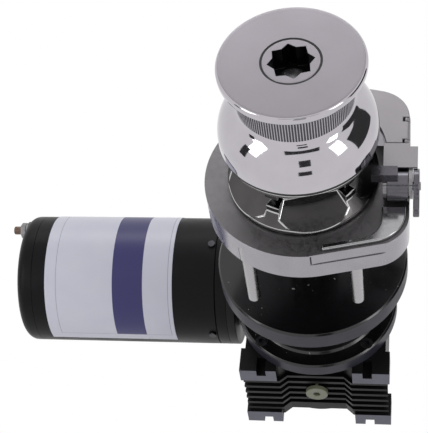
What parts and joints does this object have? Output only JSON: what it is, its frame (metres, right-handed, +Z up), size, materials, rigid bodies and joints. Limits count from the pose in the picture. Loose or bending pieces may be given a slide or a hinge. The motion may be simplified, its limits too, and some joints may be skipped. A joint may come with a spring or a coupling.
{
  "type": "deck capstan",
  "caption": "Vertical deck capstan: rope drum over a chain gypsy on a deck base with chain pipe, with an electric motor and worm gearbox hung on a stand-off tube below deck.",
  "frame": {"origin": "centre of the base plate's underside, on the main shaft's axis, in the plane of the deck", "axes": "+Z up along the main shaft, +X towards the chain pipe and pressure finger, -X towards the motor, +Y to the side the motor is offset to"},
  "size_m": [0.3011, 0.1515, 0.3269],
  "materials": {
    "polished_chrome": "polished",
    "satin_stainless": "satin",
    "bright_steel": "machined",
    "shaft_steel": "ground",
    "black_anodised": "gloss",
    "black_housing_paint": "satin",
    "black_motor_paint": "satin",
    "wheel_bronze": "machined",
    "bush_bronze": "machined",
    "wheel_iron": "machined",
    "copper": "machined",
    "core_steel": "laminated",
    "magnet_ferrite": "sintered",
    "brush_carbon": "pressed",
    "black_rubber": "matte",
    "label_film": "semi-gloss",
    "plug_plastic": "moulded",
    "insulator_plastic": "moulded",
    "brush_plate_resin": "moulded",
    "spring_steel": "hardened"
  },
  "bodies": {
    "housing": {"base_plate": "satin_stainless", "chain_guide": "satin_stainless", "hawse_box": "satin_stainless", "chain_stripper": "satin_stainless", "finger_bracket": "satin_stainless", "cover_hinge_pin": "bright_steel", "deck_studs": "bright_steel", "deck_bush": "bush_bronze", "shaft_seal": "black_rubber", "stand_off_tube": "black_anodised", "mounting_flange": "black_anodised", "flange_screws": "bright_steel", "gearbox_housing": "black_housing_paint", "bottom_cover": "black_housing_paint", "output_bearings": "shaft_steel", "output_seal": "black_rubber", "oil_plug": "plug_plastic", "worm_bearings": "shaft_steel", "worm_end_cap": "black_housing_paint", "input_flange": "black_housing_paint", "motor_can": "black_motor_paint", "motor_end_cap": "black_motor_paint", "motor_front_bell": "black_motor_paint", "motor_label": "label_film", "motor_magnets": "magnet_ferrite", "motor_bearings": "shaft_steel", "brush_plate": "brush_plate_resin", "carbon_brushes": "brush_carbon", "terminal_stud": "copper", "terminal_insulator": "insulator_plastic", "terminal_nuts": "bright_steel", "motor_screws": "bright_steel"},
    "shaft_line": {"main_shaft": "shaft_steel", "wheel_key": "shaft_steel", "cone_key": "shaft_steel", "drum_key": "shaft_steel", "clutch_cone_lower": "bush_bronze", "clutch_spring": "spring_steel", "wheel_rim": "wheel_bronze", "wheel_hub": "wheel_iron"},
    "drum_unit": {"drum": "polished_chrome", "drum_seal_ring": "black_rubber", "nut_seal_ring": "black_rubber", "clutch_cone_upper": "bush_bronze"},
    "clutch_nut_unit": {"clutch_nut": "satin_stainless"},
    "gypsy_unit": {"gypsy": "polished_chrome"},
    "worm_line": {"worm_shaft": "shaft_steel", "shaft_coupling": "shaft_steel", "motor_shaft": "shaft_steel", "armature_core": "core_steel", "commutator": "copper"},
    "finger": {"pressure_finger": "polished_chrome", "finger_pin": "bright_steel", "release_lever": "satin_stainless"},
    "cover": {"hawse_cover": "satin_stainless"}
  },
  "joints": [
    {"name": "main_shaft_spin", "type": "hinge", "parent": "housing", "child": "shaft_line", "pos_m": [0, 0, 0], "axis": [0, 0, 1], "continuous": true},
    {"name": "worm_spin", "type": "hinge", "parent": "housing", "child": "worm_line", "pos_m": [0, 0.043, -0.1583], "axis": [1, 0, 0], "continuous": true},
    {"name": "gypsy_slip", "type": "hinge", "parent": "shaft_line", "child": "gypsy_unit", "pos_m": [0, 0, 0], "axis": [0, 0, 1], "continuous": true},
    {"name": "drum_lift", "type": "slide", "parent": "shaft_line", "child": "drum_unit", "axis": [0, 0, 1], "range_m": [0, 0.002], "deforming": ["clutch_spring"]},
    {"name": "clutch_nut_turn", "type": "hinge", "parent": "drum_unit", "child": "clutch_nut_unit", "pos_m": [0, 0, 0.1], "axis": [0, 0, 1], "range_deg": [0, 360]},
    {"name": "finger_swing", "type": "hinge", "parent": "housing", "child": "finger", "pos_m": [0.0595, -0.0155, 0.031], "axis": [1, 0, 0], "range_deg": [0, 25], "stiffness_Nm_per_rad": 0.2, "springref_deg": -11.46},
    {"name": "cover_open", "type": "hinge", "parent": "housing", "child": "cover", "pos_m": [0.0615, 0.0198, 0.038], "axis": [0, 1, 0], "range_deg": [0, 100]}
  ],
  "couplings": [
    {"joint": "worm_spin", "follows": "main_shaft_spin", "ratio": 33},
    {"joint": "clutch_nut_turn", "follows": "drum_lift", "rad_per_m": 3141.6}
  ]
}
